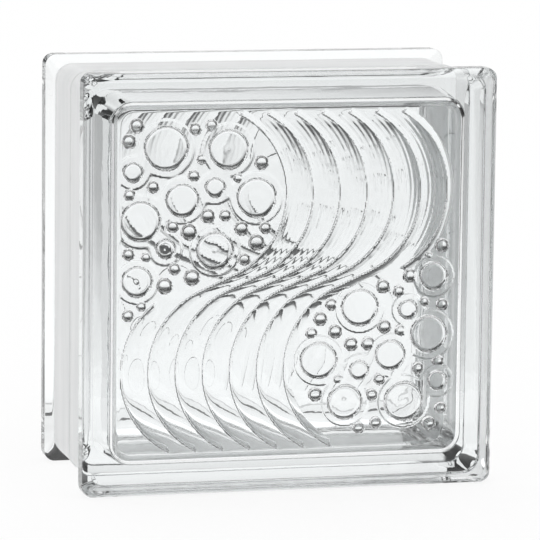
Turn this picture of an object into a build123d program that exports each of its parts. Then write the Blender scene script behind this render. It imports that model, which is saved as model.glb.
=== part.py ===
"""Hollow glass block, 190 x 190 x 100 mm, with a pressed pattern of waves and bubbles.

Two equal pressed glass halves are fused edge to edge at mid thickness.
A thin white mortar coating covers the web between the two rims.
Millimetres, +Z up, front face towards -Y, origin at the middle of the underside.
"""
import os
from math import atan, cos, degrees, radians, sin

from build123d import *

# Outside
FACE = 190.0
DEPTH = 100.0
FACE_CORNER = 5.0
FACE_EDGE = 4.0
RIM = 12.0
RIM_BACK_BEVEL = 1.0

# Web and mortar channel
CHANNEL = 4.0
FLANK = 3.0
WEB_CORNER = 8.0

# Glass walls round the cavity
PLATE = 8.0
WALL_AT_SEAM = 7.0
WALL_AT_PLATE = 9.0
CAVITY_CORNER = 12.0
CAVITY_FLOOR_BEVEL = 3.5

# Fused seam
BEAD_HEIGHT = 0.5
BEAD_HALF_WIDTH = 1.25

# Edge coating
COAT = 0.3
COAT_MARGIN = 0.8

# Waves: parallel S shaped ridges, all one curve moved sideways
RIB_PITCH = 12.5
RIB_WIDTH = 3.0
RIB_HEIGHT = 1.0
RIB_ROOT = 0.5
RIB_BEND = 40.0
RIB_STRAIGHT = 17.0
RIB_SLOPE = 24.0
RIB_END_TURN = 61.0
RIB_MIDDLE_X = -20.5
RIB_MARGIN = 6.0
WHOLE_RIBS = range(-1, 5)
LEFT_RIB = -2
RIGHT_RIB = 5
SHORT_RIB_TURN = 52.0

# Bubbles: distance in from the side, distance in from the top or bottom, radius
BUBBLE_HEIGHT = 1.5
BUBBLE_RIM = 0.8
BUBBLE_ROOT = 0.5
TOP_LEFT_BUBBLES = [
    (25.0, 21.0, 10.0),
    (53.5, 22.0, 9.0),
    (32.5, 44.5, 7.5),
    (66.5, 44.0, 9.0),
    (13.5, 53.5, 9.0),
    (47.5, 67.5, 8.5),
    (12.0, 80.5, 7.0),
]
BOTTOM_RIGHT_BUBBLES = [
    (49.0, 69.0, 8.5),
    (68.0, 45.5, 8.5),
    (16.5, 56.0, 8.5),
    (34.5, 47.0, 7.0),
    (55.5, 26.0, 8.0),
    (28.0, 25.5, 9.0),
    (14.5, 82.5, 6.5),
]

# Derived sizes
half_depth = DEPTH / 2
web = FACE - 2 * CHANNEL
rim_back = half_depth - RIM
flank_foot = rim_back - FLANK
flank_top = FACE - 2 * RIM_BACK_BEVEL
plate_back = half_depth - PLATE
cavity_at_seam = web - 2 * WALL_AT_SEAM
cavity_at_plate = web - 2 * WALL_AT_PLATE
cavity_draft = degrees(atan((WALL_AT_PLATE - WALL_AT_SEAM) / plate_back))
slope = radians(RIB_SLOPE)
bend_rise = RIB_BEND * cos(slope) + RIB_STRAIGHT * sin(slope) / 2
bend_shift = RIB_BEND * sin(slope) - RIB_STRAIGHT * cos(slope) / 2
rib_reach = cavity_at_plate / 2 - RIB_MARGIN
rib_root_half = RIB_WIDTH / 2 * (1 + RIB_ROOT / RIB_HEIGHT)
bead_width = web + 2 * BEAD_HEIGHT
bead_corner = WEB_CORNER + BEAD_HEIGHT


def slab(width, corner, low, high):
    """Square plate with rounded corners between two levels."""
    outline = RectangleRounded(width, width, corner)
    return Pos(0, 0, low) * extrude(outline, amount=high - low)


def ridge_along(path):
    """Ridge laid along a curve, its root sunk in the plate."""
    start = path.position_at(0)
    ahead = path.tangent_at(0)
    across = Vector(0, 0, 1).cross(ahead)
    section = Plane(origin=start, x_dir=across, z_dir=ahead) * Polygon(
        (-rib_root_half, RIB_ROOT),
        (rib_root_half, RIB_ROOT),
        (0, -RIB_HEIGHT),
        align=None,
    )
    return sweep(section, path)


def upper_bend(number, stop):
    """Tail and upper arc of a rib, down to an angle."""
    x = RIB_MIDDLE_X + number * RIB_PITCH - bend_shift
    arc = CenterArc((x, bend_rise, plate_back), RIB_BEND, RIB_END_TURN, stop - RIB_END_TURN)
    return [Line(arc @ 0 - arc % 0 * rib_reach, arc @ 0), arc]


def lower_bend(number, start):
    """Lower arc and tail of a rib, from an angle down."""
    x = RIB_MIDDLE_X + number * RIB_PITCH + bend_shift
    arc = CenterArc((x, -bend_rise, plate_back), RIB_BEND, start, 180 + RIB_END_TURN - start)
    return [arc, Line(arc @ 1, arc @ 1 + arc % 1 * rib_reach)]


def whole_rib(number):
    """One S: upper bend, straight slope and lower bend."""
    upper = upper_bend(number, RIB_SLOPE - 90)
    lower = lower_bend(number, RIB_SLOPE + 90)
    return ridge_along(Wire(upper + [Line(upper[-1] @ 1, lower[0] @ 0)] + lower))


def bubble(x, z, radius):
    """Low round boss with a steep rim, its root sunk in the plate."""
    thickness = BUBBLE_HEIGHT + BUBBLE_ROOT
    boss = Cone(radius - BUBBLE_RIM, radius, thickness)
    return Pos(x, z, plate_back + BUBBLE_ROOT - thickness / 2) * boss


# Glass half lying on its seam, face up
rim = slab(FACE, FACE_CORNER, rim_back, half_depth)
rim = fillet(rim.edges().group_by(Axis.Z)[-1], FACE_EDGE)
rim = chamfer(rim.edges().group_by(Axis.Z)[0], RIM_BACK_BEVEL)
flank = loft([
    Pos(0, 0, flank_foot) * RectangleRounded(web, web, WEB_CORNER),
    Pos(0, 0, rim_back) * RectangleRounded(flank_top, flank_top, FACE_CORNER - RIM_BACK_BEVEL),
])
shell = rim + flank + slab(web, WEB_CORNER, 0, flank_foot)
shell = shell + slab(bead_width, bead_corner, 0, BEAD_HALF_WIDTH)

cavity_outline = RectangleRounded(cavity_at_seam, cavity_at_seam, CAVITY_CORNER)
cavity = extrude(cavity_outline, amount=plate_back, taper=cavity_draft)
cavity = chamfer(cavity.edges().group_by(Axis.Z)[-1], CAVITY_FLOOR_BEVEL)

# Pressed pattern on the back of the plate
ribs = [whole_rib(number) for number in WHOLE_RIBS]
ribs += [ridge_along(Wire(lower_bend(LEFT_RIB, 180 - SHORT_RIB_TURN)))]
ribs += [ridge_along(Wire(upper_bend(RIGHT_RIB, -SHORT_RIB_TURN)))]
rib_zone = Pos(0, 0, plate_back) * Box(cavity_at_plate, 2 * rib_reach, 2 * PLATE)
ribs = [rib & rib_zone for rib in ribs]

edge = cavity_at_plate / 2
bubbles = [bubble(across - edge, edge - down, radius) for across, down, radius in TOP_LEFT_BUBBLES]
bubbles += [bubble(edge - across, up - edge, radius) for across, up, radius in BOTTOM_RIGHT_BUBBLES]

half = shell - cavity + ribs + bubbles

# Edge coating over the web and the seam bead
coat_reach = flank_foot - COAT_MARGIN
coat_outside = slab(web + 2 * COAT, WEB_CORNER + COAT, -coat_reach, coat_reach)
coat_half_bead = BEAD_HALF_WIDTH + COAT
coat_bead = slab(bead_width + 2 * COAT, bead_corner + COAT, -coat_half_bead, coat_half_bead)
coating = coat_outside + coat_bead - slab(web, WEB_CORNER, -half_depth, half_depth)
coating = coating - slab(bead_width, bead_corner, -BEAD_HALF_WIDTH, BEAD_HALF_WIDTH)

# Stand the block up on its underside
upright = Pos(0, 0, FACE / 2) * Rotation(90, 0, 0)
front_half = upright * half
rear_half = Rotation(0, 0, 180) * front_half
edge_coating = upright * coating

os.makedirs("parts", exist_ok=True)
export_step(front_half, "parts/front_half.step")
export_step(rear_half, "parts/rear_half.step")
export_step(edge_coating, "parts/edge_coating.step")
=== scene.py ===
"""Hollow glass block on a pale studio floor: two pressed glass halves and the white coat on their joined edges."""
import math

import bpy
import numpy as np
from mathutils import Matrix, Vector


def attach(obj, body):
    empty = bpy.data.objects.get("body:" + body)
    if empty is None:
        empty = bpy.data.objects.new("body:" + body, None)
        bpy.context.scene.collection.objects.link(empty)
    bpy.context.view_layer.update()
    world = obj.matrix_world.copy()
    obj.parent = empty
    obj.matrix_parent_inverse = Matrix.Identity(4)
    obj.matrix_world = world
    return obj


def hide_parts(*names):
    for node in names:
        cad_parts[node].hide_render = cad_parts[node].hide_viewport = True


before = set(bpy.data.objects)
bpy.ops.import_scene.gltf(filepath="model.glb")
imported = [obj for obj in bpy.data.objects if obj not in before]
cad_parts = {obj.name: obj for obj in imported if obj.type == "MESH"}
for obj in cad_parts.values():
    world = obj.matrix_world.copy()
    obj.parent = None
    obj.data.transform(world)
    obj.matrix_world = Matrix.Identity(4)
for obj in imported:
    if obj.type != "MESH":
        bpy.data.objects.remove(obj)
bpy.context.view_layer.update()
scene = bpy.context.scene

# --- Pressed glass halves -------------------------------------------------------------------
# Two pressings of clear soda-lime glass: a square face plate with a thick rim and a short web
# behind it, waves and bubbles pressed into the inside of the plate while it was hot. The rear one
# is turned about the upright axis and fused to the front one, edge to edge, at mid depth.
# Sizes in millimetres from the middle of the seam: x across, z up, depth towards the face.

BLOCK_CENTRE = 95.0
PLATE_BACK = 42.0
PATTERN_HALF = 77.0
PATTERN_CORNER = 5.0
STEPS = 272
SEAM_OVERLAP = 0.01

WAVE_PITCH = 12.5
WAVE_BEND = 40.0
WAVE_SLOPE = math.radians(24.0)
WAVE_STRAIGHT = 17.0
WAVE_MIDDLE = -20.5
WAVE_END = math.radians(61.0)
CREST_HEIGHT = 1.15
CREST_WALL = 0.6
CREST_LIP = 0.5
CREST_LIP_WIDTH = 0.8
FLUTE_SLOPE = 0.25
FLUTE_RISE = 0.36
UPPER_RISE = 0.28
FLUTE_RIPPLE = 0.06
RIPPLE_PITCH = 2.1
BUBBLE_HEIGHT = 2.1
BUBBLE_RIM = 1.9
PAD_HEIGHT = 0.45
UNEVEN_HEIGHT = 0.03
# The rear half's relief is far softer, as almost none of it shows through the front
SOFT_BUBBLE_HEIGHT = 0.25
SOFT_BUBBLE_RIM = 6.0
SOFT_BEAD_HEIGHT = 0.1
SOFT_PAD_HEIGHT = 0.04

bend_rise = WAVE_BEND * math.cos(WAVE_SLOPE) + WAVE_STRAIGHT * math.sin(WAVE_SLOPE) / 2
bend_shift = WAVE_BEND * math.sin(WAVE_SLOPE) - WAVE_STRAIGHT * math.cos(WAVE_SLOPE) / 2

# Across, up and radius of each bubble: flat ones with a steep rim, and round beads between them
FLAT_BUBBLES = np.array([
    (-57.0, 61.0, 10.0), (-28.5, 60.0, 9.0), (-72.0, 50.5, 4.5), (-49.5, 37.5, 7.5), (-34.5, 43.0, 4.5),
    (-15.5, 38.0, 9.0), (-68.5, 28.5, 9.0), (-57.0, 16.0, 4.5), (-34.5, 14.5, 8.5), (-70.0, 1.5, 7.0),
    (33.0, -13.0, 8.5), (14.0, -36.5, 8.5), (65.5, -26.0, 8.5), (47.5, -35.0, 7.0), (26.5, -56.0, 8.0),
    (54.0, -56.5, 9.0), (33.0, -41.5, 4.5), (55.5, -14.5, 4.5), (67.5, 0.5, 6.5), (70.0, -47.5, 4.5),
])
BEADS = np.array([
    (-70.5, 71.5, 3), (-74.0, 64.5, 3), (-44, 69.5, 2.5), (-36.5, 71, 2.5), (-41, 56, 2), (-44.5, 48.5, 2.5),
    (-13.5, 54, 3), (-24, 47, 2), (-63, 44, 2.5), (-73.5, 40.5, 2.5), (-38, 30.5, 3), (-30, 30.5, 2.5),
    (-54, 26, 2.5), (-46.5, 23.5, 3.5), (-22.5, 24.5, 3), (-11.5, 24.5, 2.5), (-15.5, 18, 3.5), (-21, 10.5, 2.5),
    (-74, 14, 2.5), (-66, 12.5, 2), (-53, 7, 2.5), (-45, 3, 3.5), (-57.5, -0.5, 3.5), (-68, -9.5, 2),
    (-74, -13.5, 2.5), (43.5, -3.5, 3), (51, -6, 2.5), (56, 1, 3), (19.5, -11, 2.5), (14.5, -17.5, 3),
    (10.5, -24, 2.5), (21.5, -23.5, 3), (29, -29.5, 3), (37, -29.5, 3), (44.5, -22, 3), (52, -24, 2.5),
    (63, -11, 2), (71.5, -12.5, 2.5), (70, -38.5, 2.5), (60.5, -41.5, 2.5), (42.5, -46, 2.5), (23, -45.5, 2),
    (12.5, -52, 3), (39, -53, 2.5), (33, -68, 2.5), (41, -66, 2.5), (66, -67, 3), (71.5, -60, 2.5),
    (71, 14.5, 3), (65, 10, 1.5),
], dtype=float)


def smooth_step(low, high, value):
    """0 at low, 1 at high, and 3t^2 - 2t^3 between them."""
    t = np.clip((value - low) / (high - low), 0.0, 1.0)
    return t * t * (3.0 - 2.0 * t)


def beside_wave(x, z):
    """Signed distance to the right of the middle wave, an S of two arcs and a sloping straight:
    the distance from an arc's centre less its radius, or the offset square to the straight."""
    along = (x - WAVE_MIDDLE) * math.cos(WAVE_SLOPE) + z * math.sin(WAVE_SLOPE)
    straight = (x - WAVE_MIDDLE) * math.sin(WAVE_SLOPE) - z * math.cos(WAVE_SLOPE)
    upper = np.hypot(x - (WAVE_MIDDLE - bend_shift), z - bend_rise) - WAVE_BEND
    lower = WAVE_BEND - np.hypot(x - (WAVE_MIDDLE + bend_shift), z + bend_rise)
    half = WAVE_STRAIGHT / 2
    return np.where(along > half, upper, np.where(along < -half, lower, straight))


def past_end(x, z, centre_x, centre_z, angle, turn):
    """How far a point lies beyond a crest's end, along the crest: the end sits on an arc at the
    given angle, and turn is 1 where the crest ends as the angle grows."""
    off_x = x - centre_x - WAVE_BEND * math.cos(angle)
    off_z = z - centre_z - WAVE_BEND * math.sin(angle)
    return turn * (off_z * math.cos(angle) - off_x * math.sin(angle))


def with_crest(height, x, z, number, top_angle, bottom_angle):
    """Height with one crest added: to its left a steep wall up to it, to its right a fall at the
    flute's steepest slope. The crest fades out over 2.5 mm beyond its ends."""
    shift = number * WAVE_PITCH
    beside = beside_wave(x - shift, z)
    upper = (WAVE_MIDDLE - bend_shift + shift, bend_rise)
    lower = (WAVE_MIDDLE + bend_shift + shift, -bend_rise)
    top_centre, top_turn = (upper, 1) if top_angle < math.pi / 2 else (lower, -1)
    bottom_centre, bottom_turn = (lower, 1) if bottom_angle > math.pi / 2 else (upper, -1)
    beyond_top = past_end(x, z, *top_centre, top_angle, top_turn)
    beyond_bottom = past_end(x, z, *bottom_centre, bottom_angle, bottom_turn)
    beyond = np.where(z > top_centre[1], beyond_top, np.where(z < bottom_centre[1], beyond_bottom, -1.0))
    top = CREST_HEIGHT * smooth_step(2.5, 0.0, beyond)
    wall = height + (top - height) * smooth_step(-CREST_WALL, 0.0, beside)
    lip = CREST_LIP * (1.0 - np.exp(-np.abs(beside) / CREST_LIP_WIDTH))
    fall = np.maximum(height, top - FLUTE_SLOPE * beside - lip)
    near = (np.abs(beside) < 4.0) & (top > height)
    return np.where(near & (beside < 0), wall, np.where(near, fall, height))


def flute_height(x, z, number):
    """Hollow flute between a crest and the next one to its right: a parabola across, its fall at
    the left crest turning into a rise at the right one, steeper near the top, with fine ripples
    along the upper half. Also gives where the flute is."""
    right_of = beside_wave(x - number * WAVE_PITCH, z)
    left_of = -beside_wave(x - (number + 1) * WAVE_PITCH, z)
    inside = (right_of > 0) & (left_of > 0)
    width = np.maximum(right_of + left_of, 0.1)
    across = np.clip(right_of / width, 0.0, 1.0)
    rise = FLUTE_RISE + UPPER_RISE * smooth_step(20.0, 60.0, z)
    hollow = width * across * (FLUTE_SLOPE - rise / 2 * across)
    hollow = hollow + CREST_LIP * (1.0 - np.exp(-np.abs(right_of) / CREST_LIP_WIDTH))
    clear_of_crests = smooth_step(0.0, 1.5, right_of) * smooth_step(0.0, 1.5, left_of)
    ripple = np.sin(2 * math.pi * right_of / RIPPLE_PITCH) * smooth_step(-15.0, 20.0, z)
    hollow = hollow + FLUTE_RIPPLE * ripple * clear_of_crests
    ends = smooth_step(77.0, 70.0, np.abs(z))
    if number == -2:
        ends = ends * smooth_step(-4.0, -16.0, z)
    if number == 4:
        ends = ends * smooth_step(4.0, 16.0, z)
    return inside, (CREST_HEIGHT - hollow) * ends


def pattern_height(x, z, crisp):
    """Height of the pressed pattern above the back of the plate: flutes and crests, a soft pad
    round each group of bubbles, flat bubbles with an elliptic rim, beads, a faint unevenness.
    Where it isn't crisp, bubbles rise low and gently and all relief fades near the underside."""
    height = np.zeros_like(x)
    for number in range(-2, 5):
        inside, flute = flute_height(x, z, number)
        height = np.where(inside, flute, height)
    crests = [(number, WAVE_END, math.pi + WAVE_END) for number in range(-1, 5)]
    crests += [(-2, math.radians(130.0), math.pi + WAVE_END), (5, WAVE_END, math.radians(-60.0))]
    for number, top_angle, bottom_angle in crests:
        height = with_crest(height, x, z, number, top_angle, bottom_angle)
    near = np.zeros_like(x)
    for centre_x, centre_z, radius in FLAT_BUBBLES:
        near = near + np.exp((radius - np.hypot(x - centre_x, z - centre_z)) / 1.2)
    around = -1.2 * np.log(np.maximum(near, 1e-12))
    pad = PAD_HEIGHT if crisp else SOFT_PAD_HEIGHT
    height = np.where(height == 0.0, pad * smooth_step(3.3, 2.4, around), height)
    for centre_x, centre_z, radius in FLAT_BUBBLES:
        inward = np.clip(radius - np.hypot(x - centre_x, z - centre_z), 0.0, radius)
        rim = np.clip(inward / BUBBLE_RIM, 0.0, 1.0)
        round_rim = BUBBLE_HEIGHT * np.sqrt(1.0 - (1.0 - rim) ** 2) + 0.03 * inward
        soft_rim = SOFT_BUBBLE_HEIGHT * smooth_step(0.0, SOFT_BUBBLE_RIM, inward)
        height = np.where(inward > 0, round_rim if crisp else soft_rim, height)
    for centre_x, centre_z, radius in BEADS:
        inside = 1.0 - ((x - centre_x) ** 2 + (z - centre_z) ** 2) / radius ** 2
        round_dome = 0.9 * radius * np.sqrt(np.clip(inside, 0.0, 1.0))
        dome = round_dome if crisp else SOFT_BEAD_HEIGHT * smooth_step(0.0, 1.0, inside)
        height = np.where(inside > 0, np.maximum(height, dome), height)
    if not crisp:
        height = height * smooth_step(-70.0, -54.0, z)
    uneven = np.sin(x * 0.21 + 1.3 * np.sin(z * 0.13)) * np.sin(z * 0.17 + 1.1 * np.sin(x * 0.11 + 2.0))
    return height + UNEVEN_HEIGHT * uneven


def onto_bubble_edges(x, z):
    """Grid points within 0.24 mm of a bubble's edge moved straight onto it, so that the edge is a
    clean circle."""
    for centre_x, centre_z, radius in np.concatenate([FLAT_BUBBLES, BEADS]):
        distance = np.hypot(x - centre_x, z - centre_z)
        close = np.abs(distance - radius) < 0.24
        scale = np.where(close, radius / np.maximum(distance, 0.1), 1.0)
        x = centre_x + (x - centre_x) * scale
        z = centre_z + (z - centre_z) * scale
    return x, z


def bent_square(u, v, half, corner):
    """Square -1..1 bent to a square with round corners: straight scaling along the sides, and in
    the corner zones the quarter disc (a sqrt(1 - b^2/2), b sqrt(1 - a^2/2))."""
    zone = PATTERN_CORNER / PATTERN_HALF
    a = np.clip((np.abs(u) - 1 + zone) / zone, 0.0, 1.0)
    b = np.clip((np.abs(v) - 1 + zone) / zone, 0.0, 1.0)
    flat_u = np.minimum(np.abs(u) / (1 - zone), 1.0) * (half - corner)
    flat_v = np.minimum(np.abs(v) / (1 - zone), 1.0) * (half - corner)
    x = np.sign(u) * (flat_u + corner * a * np.sqrt(1 - b * b / 2))
    z = np.sign(v) * (flat_v + corner * b * np.sqrt(1 - a * a / 2))
    return x, z


def arc_rows(half, corner, depth, radius, start, stop, count):
    """Rows of a rounding: a circle about (half width, depth), from one angle to another, as half
    width, corner radius, depth, and the outward and faceward parts of the normal."""
    t = np.radians(np.linspace(start, stop, count))
    return np.stack([half + radius * np.cos(t), corner + radius * np.cos(t), depth + radius * np.sin(t),
                     np.cos(t), np.sin(t)], axis=-1)


INNER_ROWS = np.concatenate([
    arc_rows(77.0, 5.0, 37.0, 5.0, 80.0, 3.0, 7),
    [(83.0, 11.0, 18.0, 1.0, 0.05), (84.0, 12.0, -SEAM_OVERLAP, 1.0, 0.05)],
])
OUTER_ROWS = np.concatenate([
    [(91.5, 8.5, -SEAM_OVERLAP, 1.0, 0.0), (91.5, 8.5, 0.8, 1.0, 0.0), (91.3, 8.3, 1.3, 0.7, 0.7),
     (91.0, 8.0, 1.5, 1.0, 0.1), (91.0, 8.0, 34.0, 1.0, 0.0), (91.3, 7.9, 35.0, 0.9, -0.43),
     (92.0, 7.2, 35.9, 0.7, -0.7), (93.6, 5.6, 37.5, 0.7, -0.7)],
    arc_rows(94.0, 4.0, 39.0, 1.0, -45.0, 0.0, 4),
    [(95.0, 5.0, 45.8, 1.0, 0.0)],
    arc_rows(91.0, 1.0, 46.0, 4.0, 0.0, 90.0, 9),
    [(90.8, 0.9, 50.0, 0.0, 1.0)],
])


def rows_to_loops(rows, u, v, side):
    """Points and normals of the rounded squares, one for each row, through the border (u, v).
    Side is 1 for the outside of the glass and -1 for the walls of the hollow."""
    half, corner, depth, outward, faceward = (column[:, None] for column in rows.T)
    x, z = bent_square(u[None, :], v[None, :], half, corner)
    round_x = np.sign(x) * np.maximum(np.abs(x) - (half - corner), 0.0)
    round_z = np.sign(z) * np.maximum(np.abs(z) - (half - corner), 0.0)
    length = np.maximum(np.hypot(round_x, round_z), 1e-9)
    points = np.stack([x, depth + 0.0 * x, z], axis=-1)
    normals = np.stack([outward * round_x / length, faceward + 0.0 * x, outward * round_z / length], axis=-1)
    return points, side * normals


def between(loops):
    """Quads between neighbouring loops of point numbers."""
    near, far = loops[:-1], loops[1:]
    return np.stack([near, np.roll(near, -1, axis=1), np.roll(far, -1, axis=1), far], axis=-1).reshape(-1, 4)


def glass_half(name, turn):
    """Closed shell of one half. The pattern is a grid over a rounded square; its border runs on as
    loops down the walls of the hollow to the seam, and up the outside from the seam to the face.
    Turn is 1 for the front half and -1 for the rear one."""
    u, v = np.meshgrid(np.linspace(-1.0, 1.0, STEPS + 1), np.linspace(-1.0, 1.0, STEPS + 1), indexing="ij")
    x, z = bent_square(u, v, PATTERN_HALF, PATTERN_CORNER)
    snapped_x, snapped_z = onto_bubble_edges(x, z)
    inland = (np.abs(u) < 1) & (np.abs(v) < 1)
    x, z = np.where(inland, snapped_x, x), np.where(inland, snapped_z, z)
    step = 0.05
    lean_x = (pattern_height(x + step, z, turn > 0) - pattern_height(x - step, z, turn > 0)) / (2 * step)
    lean_z = (pattern_height(x, z + step, turn > 0) - pattern_height(x, z - step, turn > 0)) / (2 * step)
    grid_points = np.stack([x, PLATE_BACK - pattern_height(x, z, turn > 0), z], axis=-1).reshape(-1, 3)
    grid_normals = np.stack([-lean_x, -np.ones_like(x), -lean_z], axis=-1).reshape(-1, 3)
    number = np.arange(x.size).reshape(x.shape)
    grid_quads = np.stack([number[:-1, 1:], number[1:, 1:], number[1:, :-1], number[:-1, :-1]],
                          axis=-1)
    border = np.concatenate([number[:-1, 0], number[-1, :-1], number[:0:-1, -1], number[0, :0:-1]])

    border_u, border_v = u.reshape(-1)[border], v.reshape(-1)[border]
    inner_points, inner_normals = rows_to_loops(INNER_ROWS, border_u, border_v, -1)
    outer_points, outer_normals = rows_to_loops(OUTER_ROWS, border_u[::2], border_v[::2], 1)
    inner = x.size + np.arange(inner_points[..., 0].size).reshape(inner_points.shape[:2])
    outer = inner[-1, -1] + 1 + np.arange(outer_points[..., 0].size).reshape(outer_points.shape[:2])
    points = np.concatenate([grid_points, inner_points.reshape(-1, 3), outer_points.reshape(-1, 3)])
    normals = np.concatenate([grid_normals, inner_normals.reshape(-1, 3), outer_normals.reshape(-1, 3)])
    normals /= np.linalg.norm(normals, axis=1, keepdims=True)

    # The flat seam: each step of the outer loop meets two steps of the inner one
    seam = np.stack([inner[-1, ::2], inner[-1, 1::2], np.roll(inner[-1, ::2], -1),
                     np.roll(outer[0], -1), outer[0]], axis=-1)
    inner_quads = between(np.concatenate([border[None], inner]))
    quads = np.concatenate([grid_quads.reshape(-1, 4), inner_quads, between(outer)])
    faces = quads.tolist() + seam.tolist() + [outer[-1].tolist()]
    place = points * (turn, -turn, 1.0) + (0.0, 0.0, BLOCK_CENTRE)
    mesh = bpy.data.meshes.new(name)
    mesh.from_pydata((place / 1000.0).tolist(), [], faces)
    mesh.update()
    mesh.polygons.foreach_set("use_smooth", np.ones(len(faces), dtype=bool))
    corner_point = np.empty(len(mesh.loops), dtype=np.int32)
    mesh.loops.foreach_get("vertex_index", corner_point)
    corner_normal = (normals * (turn, -turn, 1.0))[corner_point]
    first = quads.size
    corner_normal[first:first + seam.size] = (0.0, turn, 0.0)
    mesh.normals_split_custom_set(corner_normal.tolist())
    return mesh


# Unevenness left by the mould and the fire polish: two sizes of noise, as a height
unevenness = bpy.data.node_groups.new("mould unevenness", "ShaderNodeTree")
unevenness.interface.new_socket("Vector", in_out="INPUT", socket_type="NodeSocketVector")
unevenness.interface.new_socket("Coarse", in_out="INPUT", socket_type="NodeSocketFloat")
unevenness.interface.new_socket("Fine", in_out="INPUT", socket_type="NodeSocketFloat")
unevenness.interface.new_socket("Fine Share", in_out="INPUT", socket_type="NodeSocketFloat")
unevenness.interface.new_socket("Height", in_out="OUTPUT", socket_type="NodeSocketFloat")
group_in = unevenness.nodes.new("NodeGroupInput")
group_out = unevenness.nodes.new("NodeGroupOutput")
coarse = unevenness.nodes.new("ShaderNodeTexNoise")
coarse.inputs["Detail"].default_value = 2.0
fine = unevenness.nodes.new("ShaderNodeTexNoise")
fine.inputs["Detail"].default_value = 3.0
blend = unevenness.nodes.new("ShaderNodeMix")
unevenness.links.new(group_in.outputs["Vector"], coarse.inputs["Vector"])
unevenness.links.new(group_in.outputs["Vector"], fine.inputs["Vector"])
unevenness.links.new(group_in.outputs["Coarse"], coarse.inputs["Scale"])
unevenness.links.new(group_in.outputs["Fine"], fine.inputs["Scale"])
unevenness.links.new(group_in.outputs["Fine Share"], blend.inputs["Factor"])
unevenness.links.new(coarse.outputs["Fac"], blend.inputs["A"])
unevenness.links.new(fine.outputs["Fac"], blend.inputs["B"])
unevenness.links.new(blend.outputs["Result"], group_out.inputs["Height"])

glass = bpy.data.materials.new("clear pressed glass")
glass.use_nodes = True
nodes, links = glass.node_tree.nodes, glass.node_tree.links
shader = nodes["Principled BSDF"]
shader.inputs["Base Color"].default_value = (0.975, 0.988, 0.99, 1.0)
shader.inputs["Roughness"].default_value = 0.0
shader.inputs["IOR"].default_value = 1.52
shader.inputs["Transmission Weight"].default_value = 1.0
place = nodes.new("ShaderNodeTexCoord")
waver = nodes.new("ShaderNodeGroup")
waver.node_tree = unevenness
waver.inputs["Coarse"].default_value = 22.0
waver.inputs["Fine"].default_value = 90.0
waver.inputs["Fine Share"].default_value = 0.12
bump = nodes.new("ShaderNodeBump")
bump.inputs["Strength"].default_value = 0.35
bump.inputs["Distance"].default_value = 0.001
links.new(place.outputs["Object"], waver.inputs["Vector"])
links.new(waver.outputs["Height"], bump.inputs["Height"])
links.new(bump.outputs["Normal"], shader.inputs["Normal"])

for name, node, turn in (("front_glass", "front_half", 1.0), ("rear_glass", "rear_half", -1.0)):
    mesh = glass_half(name, turn)
    mesh.materials.append(glass)
    half = bpy.data.objects.new(name, mesh)
    scene.collection.objects.link(half)
    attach(half, "root")
    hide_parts(node)

# --- Edge coat ------------------------------------------------------------------------------
# Thin white bonding coat, a mineral filled paint about 0.3 mm thick, sprayed on the web
# between the two rims and over the fused seam, so that mortar keys to the glass. It lets
# some light through, and the spray leaves faint streaks along the edge.

COAT_ROWS = np.array([
    (91.02, 8.02, -34.2), (91.02, 8.02, -1.6), (91.52, 8.52, -1.3), (91.52, 8.52, 1.3), (91.02, 8.02, 1.6),
    (91.02, 8.02, 34.2), (91.15, 8.15, 34.2), (91.3, 8.3, 34.0), (91.3, 8.3, 1.9), (91.8, 8.8, 1.3),
    (91.8, 8.8, -1.3), (91.3, 8.3, -1.9), (91.3, 8.3, -34.0), (91.15, 8.15, -34.2),
])


def square_border(count):
    """Border of the square -1..1, counter-clockwise, in equal steps: two triangle waves, a quarter
    turn apart, cut off at -1 and 1."""
    t = np.arange(count) * 4.0 / count
    u = np.clip(np.abs(((t + 1.5) % 4.0) - 2.0) * 2.0 - 2.0, -1.0, 1.0)
    v = np.clip(np.abs(((t + 2.5) % 4.0) - 2.0) * 2.0 - 2.0, -1.0, 1.0)
    return u, v


def coat_shell(name):
    """Closed band: its section's corners, each a rounded square round the block, joined in a ring."""
    u, v = square_border(768)
    half, corner, depth = (column[:, None] for column in COAT_ROWS.T)
    x, z = bent_square(u[None, :], v[None, :], half, corner)
    points = np.stack([x, depth + 0.0 * x, z + BLOCK_CENTRE], axis=-1)
    loops = np.arange(x.size).reshape(x.shape)
    quads = between(np.concatenate([loops, loops[:1]]))
    mesh = bpy.data.meshes.new(name)
    mesh.from_pydata((points.reshape(-1, 3) / 1000.0).tolist(), [], quads.tolist())
    mesh.update()
    return mesh


coat = bpy.data.materials.new("white bonding coat")
coat.use_nodes = True
nodes, links = coat.node_tree.nodes, coat.node_tree.links
shader = nodes["Principled BSDF"]
shader.inputs["Subsurface Weight"].default_value = 1.0
shader.inputs["Subsurface Radius"].default_value = (1.0, 1.0, 1.0)
shader.inputs["Subsurface Scale"].default_value = 0.001
place = nodes.new("ShaderNodeTexCoord")
stretch = nodes.new("ShaderNodeMapping")
stretch.inputs["Scale"].default_value = (1.0, 14.0, 1.0)
streaks = nodes.new("ShaderNodeGroup")
streaks.node_tree = unevenness
streaks.inputs["Coarse"].default_value = 9.0
streaks.inputs["Fine"].default_value = 40.0
streaks.inputs["Fine Share"].default_value = 0.35
shade = nodes.new("ShaderNodeValToRGB")
shade.color_ramp.elements[0].position = 0.3
shade.color_ramp.elements[0].color = (0.70, 0.715, 0.72, 1.0)
shade.color_ramp.elements[1].position = 0.7
shade.color_ramp.elements[1].color = (0.80, 0.81, 0.812, 1.0)
dull = nodes.new("ShaderNodeMapRange")
dull.inputs["To Min"].default_value = 0.6
dull.inputs["To Max"].default_value = 0.8
bump = nodes.new("ShaderNodeBump")
bump.inputs["Strength"].default_value = 0.3
bump.inputs["Distance"].default_value = 0.0005
links.new(place.outputs["Object"], stretch.inputs["Vector"])
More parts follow.
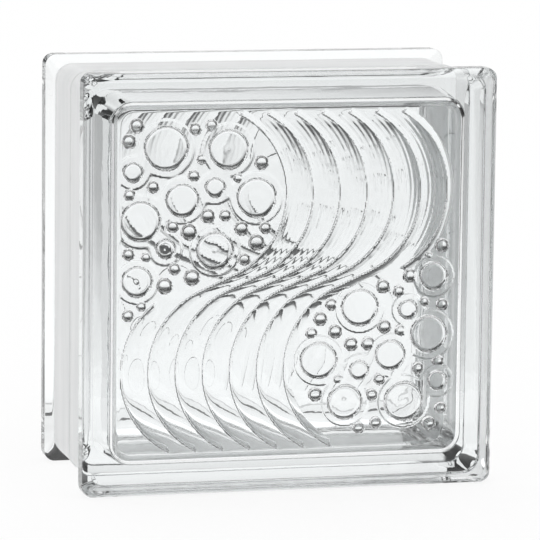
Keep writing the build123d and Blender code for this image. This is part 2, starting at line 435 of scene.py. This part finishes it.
links.new(stretch.outputs["Vector"], streaks.inputs["Vector"])
links.new(streaks.outputs["Height"], shade.inputs["Fac"])
links.new(streaks.outputs["Height"], dull.inputs["Value"])
links.new(streaks.outputs["Height"], bump.inputs["Height"])
links.new(shade.outputs["Color"], shader.inputs["Base Color"])
links.new(dull.outputs["Result"], shader.inputs["Roughness"])
links.new(bump.outputs["Normal"], shader.inputs["Normal"])

mesh = coat_shell("edge_coat")
mesh.materials.append(coat)
band = bpy.data.objects.new("edge_coat", mesh)
scene.collection.objects.link(band)
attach(band, "root")
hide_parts("edge_coating")

# --- Floor ----------------------------------------------------------------------------------
# White studio sweep. Seen directly it is plain white and keeps the block's soft shadow. Through the glass it
# shows what may have stood round the real block: a pale grey table with a dark edge behind it. Through the glass
# it shows a pale grey band with a dark line at its far edge, white beyond and darker far off, and a painted glow
# beside the block. Mirrored in the glass it is white near the block, grey to both sides, dark in front.

# Emission of the floor seen through the glass, and the painted glow added up to 60 mm behind the
# block's middle: painted light that lights the lower rim but also all of the floor in front of the block
GREY_BAND_EDGE = 0.134
SEEN_AS_FAR_AS = 4.0
THROUGH_LEVEL = 1.06
UNDER_BLOCK_PAINTED_GLOW = 0.4
NEAR_ZONE_Y = -0.10
NEAR_ZONE_HALF = 0.18


def add_ramp(tree, stops):
    """Colour ramp of grey levels: pairs of position and level."""
    node = tree.nodes.new("ShaderNodeValToRGB")
    elements = node.color_ramp.elements
    while len(elements) < len(stops):
        elements.new(0.5)
    for element, (position, level) in zip(elements, stops):
        element.position = position
        element.color = (level, level, level, 1.0)
    return node


def add_math(tree, operation, first, second):
    """Math node between a socket and a socket or a number."""
    node = tree.nodes.new("ShaderNodeMath")
    node.operation = operation
    tree.links.new(first, node.inputs[0])
    if isinstance(second, float):
        node.inputs[1].default_value = second
    else:
        tree.links.new(second, node.inputs[1])
    return node.outputs[0]


sweep = bpy.data.materials.new("studio sweep")
sweep.use_nodes = True
tree = sweep.node_tree
tree.nodes.clear()
output = tree.nodes.new("ShaderNodeOutputMaterial")
mix = tree.nodes.new("ShaderNodeMixShader")
matt = tree.nodes.new("ShaderNodeBsdfDiffuse")
matt.inputs["Color"].default_value = (0.95, 0.95, 0.95, 1.0)
white = tree.nodes.new("ShaderNodeEmission")
path = tree.nodes.new("ShaderNodeLightPath")
mix.inputs["Fac"].default_value = 0.85
tree.links.new(matt.outputs["BSDF"], mix.inputs[1])
tree.links.new(white.outputs["Emission"], mix.inputs[2])
tree.links.new(mix.outputs["Shader"], output.inputs["Surface"])
place = tree.nodes.new("ShaderNodeTexCoord")
parts = tree.nodes.new("ShaderNodeSeparateXYZ")
tree.links.new(place.outputs["Object"], parts.inputs["Vector"])
span = tree.nodes.new("ShaderNodeMapRange")
span.inputs["From Min"].default_value = 0.0
span.inputs["From Max"].default_value = SEEN_AS_FAR_AS
tree.links.new(parts.outputs["Y"], span.inputs["Value"])
# Grey levels of the floor seen through the glass, by distance behind the block's middle: white close by, a pale
# grey band out to its edge, white again, then darker far off
grey_by_distance = [(0.05, 1.0), (0.08, 0.92), (0.11, 0.84), (GREY_BAND_EDGE, 0.84), (GREY_BAND_EDGE + 0.01, 0.84),
                    (GREY_BAND_EDGE + 0.026, 0.9), (GREY_BAND_EDGE + 0.04, 1.0), (0.6, 1.0), (1.2, 0.94), (1.8, 0.84),
                    (2.6, 0.6), (4.0, 0.25)]
grey_band = add_ramp(tree, [(distance / SEEN_AS_FAR_AS, level) for distance, level in grey_by_distance])
tree.links.new(span.outputs["Result"], grey_band.inputs["Fac"])
# A dark line at the grey band's far edge, and a fainter grey line 26 mm beyond it
off_edge = add_math(tree, "SUBTRACT", parts.outputs["Y"], GREY_BAND_EDGE + 0.0025)
off_edge = add_math(tree, "ABSOLUTE", off_edge, 0.0)
off_edge = add_math(tree, "GREATER_THAN", off_edge, 0.0035)
off_rim = add_math(tree, "SUBTRACT", parts.outputs["Y"], GREY_BAND_EDGE + 0.026)
off_rim = add_math(tree, "ABSOLUTE", off_rim, 0.0)
off_rim = add_math(tree, "MAXIMUM", add_math(tree, "GREATER_THAN", off_rim, 0.002), 0.6)
lines = add_math(tree, "MULTIPLY", off_edge, off_rim)
bounced = add_math(tree, "MAXIMUM", path.outputs["Diffuse Depth"], path.outputs["Glossy Depth"])
bounced = add_math(tree, "GREATER_THAN", bounced, 0.5)
through = add_math(tree, "SUBTRACT", path.outputs["Is Transmission Ray"], bounced)
through = add_math(tree, "MAXIMUM", through, 0.0)
across = tree.nodes.new("ShaderNodeMapRange")
across.inputs["From Min"].default_value = -0.5
across.inputs["From Max"].default_value = 0.5
tree.links.new(parts.outputs["X"], across.inputs["Value"])
sides = add_ramp(tree, [(0.0, 0.75), (0.38, 0.8), (0.5, 1.0), (0.62, 0.9), (0.8, 0.5), (1.0, 0.42)])
tree.links.new(across.outputs["Result"], sides.inputs["Fac"])
away = add_math(tree, "SUBTRACT", parts.outputs["Y"], NEAR_ZONE_Y)
away = add_math(tree, "ABSOLUTE", away, 0.0)
away = add_math(tree, "GREATER_THAN", away, NEAR_ZONE_HALF)
mirrored = add_math(tree, "GREATER_THAN", path.outputs["Glossy Depth"], 0.5)
lit = add_math(tree, "GREATER_THAN", path.outputs["Diffuse Depth"], 0.5)
shade = add_math(tree, "MULTIPLY", away, add_math(tree, "SUBTRACT", mirrored, lit))
near = tree.nodes.new("ShaderNodeMix")
near.data_type = "RGBA"
near.inputs["A"].default_value = (1.0, 1.0, 1.0, 1.0)
behind = add_math(tree, "GREATER_THAN", parts.outputs["Y"], 0.0)
behind = add_math(tree, "MULTIPLY", behind, sides.outputs["Color"])
tree.links.new(behind, near.inputs["B"])
tree.links.new(shade, near.inputs["Factor"])
choose = tree.nodes.new("ShaderNodeMix")
choose.data_type = "RGBA"
tree.links.new(near.outputs["Result"], choose.inputs["A"])
tree.links.new(through, choose.inputs["Factor"])
tree.links.new(grey_band.outputs["Color"], choose.inputs["B"])
tree.links.new(choose.outputs["Result"], white.inputs["Color"])
# Painted glow: up to 60 mm behind the block's middle the floor seen through the glass glows 0.4 brighter, painted
# light for the lower rim
painted_glow_zone = add_math(tree, "LESS_THAN", parts.outputs["Y"], 0.06)
painted_glow_zone = add_math(tree, "MULTIPLY", painted_glow_zone, UNDER_BLOCK_PAINTED_GLOW)
lined = add_math(tree, "MULTIPLY", lines, add_math(tree, "ADD", painted_glow_zone, THROUGH_LEVEL))
lined = add_math(tree, "SUBTRACT", lined, 1.0)
strength = add_math(tree, "ADD", add_math(tree, "MULTIPLY", lined, through), 1.0)
tree.links.new(strength, white.inputs["Strength"])

mesh = bpy.data.meshes.new("floor")
floor_corners = [(-12, -12, -0.0001), (12, -12, -0.0001), (12, 12, -0.0001), (-12, 12, -0.0001)]
mesh.from_pydata(floor_corners, [], [(0, 1, 2, 3)])
mesh.materials.append(sweep)
floor = bpy.data.objects.new("floor", mesh)
scene.collection.objects.link(floor)

# --- Light ----------------------------------------------------------------------------------
# Soft white light all round, a little stronger from above. In the glass the room above the
# sweep shows as grey near the horizon, dark above it, with a large soft lamp overhead. Rays that
# were mirrored in the glass also meet a pale wall, a little to the right.

AHEAD_X = 0.25
AHEAD_HALF = 0.22

world = bpy.data.worlds.new("studio")
scene.world = world
world.use_nodes = True
tree = world.node_tree
tree.nodes.clear()
output = tree.nodes.new("ShaderNodeOutputWorld")
background = tree.nodes.new("ShaderNodeBackground")
tree.links.new(background.outputs["Background"], output.inputs["Surface"])
direction = tree.nodes.new("ShaderNodeTexCoord")
parts = tree.nodes.new("ShaderNodeSeparateXYZ")
tree.links.new(direction.outputs["Generated"], parts.inputs["Vector"])
room = add_ramp(tree, [(0.0, 0.15), (0.10, 0.06), (0.22, 0.01), (0.66, 0.03), (0.72, 1.0), (1.0, 1.0)])
tree.links.new(parts.outputs["Z"], room.inputs["Fac"])
pale = add_ramp(tree, [(0.0, 0.9), (0.42, 0.78), (0.5, 0.05), (0.66, 0.03), (0.72, 1.0)])
tree.links.new(parts.outputs["Z"], pale.inputs["Fac"])
soft = add_ramp(tree, [(0.0, 0.72), (1.0, 1.35)])
tree.links.new(parts.outputs["Z"], soft.inputs["Fac"])
path = tree.nodes.new("ShaderNodeLightPath")
reflected = add_math(tree, "GREATER_THAN", path.outputs["Glossy Depth"], 0.5)
mirror = tree.nodes.new("ShaderNodeMix")
mirror.data_type = "RGBA"
ahead = add_math(tree, "SUBTRACT", parts.outputs["X"], AHEAD_X)
ahead = add_math(tree, "ABSOLUTE", ahead, 0.0)
ahead = add_math(tree, "LESS_THAN", ahead, AHEAD_HALF)
ahead = add_math(tree, "MULTIPLY", ahead, reflected)
tree.links.new(ahead, mirror.inputs["Factor"])
tree.links.new(room.outputs["Color"], mirror.inputs["A"])
tree.links.new(pale.outputs["Color"], mirror.inputs["B"])
lit = add_math(tree, "GREATER_THAN", path.outputs["Diffuse Depth"], 0.5)
choose = tree.nodes.new("ShaderNodeMix")
choose.data_type = "RGBA"
tree.links.new(lit, choose.inputs["Factor"])
tree.links.new(mirror.outputs["Result"], choose.inputs["A"])
tree.links.new(soft.outputs["Color"], choose.inputs["B"])
direct = tree.nodes.new("ShaderNodeMix")
direct.data_type = "RGBA"
direct.inputs["B"].default_value = (1.0, 1.0, 1.0, 1.0)
tree.links.new(path.outputs["Is Camera Ray"], direct.inputs["Factor"])
tree.links.new(choose.outputs["Result"], direct.inputs["A"])
tree.links.new(direct.outputs["Result"], background.inputs["Color"])

# --- Camera ---------------------------------------------------------------------------------
# Long lens, a little to the left of the block and above it, as in the photograph.

azimuth, elevation, roll = math.radians(-14.402), math.radians(8.728), math.radians(0.647)
back = Vector((math.sin(azimuth) * math.cos(elevation), -math.cos(azimuth) * math.cos(elevation),
               math.sin(elevation)))
level = Vector((math.cos(azimuth), math.sin(azimuth), 0.0))
upright = back.cross(level)
right = level * math.cos(roll) + upright * math.sin(roll)
up = upright * math.cos(roll) - level * math.sin(roll)
eye = Vector((0.0, 0.0, 0.095)) + back * 1.9114 + right * 0.00236 - up * 0.00169
lens = bpy.data.cameras.new("camera")
lens.sensor_width = 36.0
lens.lens = 277.85
lens.clip_start = 0.05
lens.clip_end = 50.0
camera = bpy.data.objects.new("camera", lens)
scene.collection.objects.link(camera)
camera.matrix_world = Matrix(((right.x, up.x, back.x, eye.x), (right.y, up.y, back.y, eye.y),
                              (right.z, up.z, back.z, eye.z), (0.0, 0.0, 0.0, 1.0)))
scene.camera = camera

scene.view_settings.view_transform = "Standard"
scene.cycles.max_bounces = 32
scene.cycles.transmission_bounces = 32
scene.cycles.glossy_bounces = 12
scene.cycles.diffuse_bounces = 6
scene.cycles.sample_clamp_indirect = 6.0
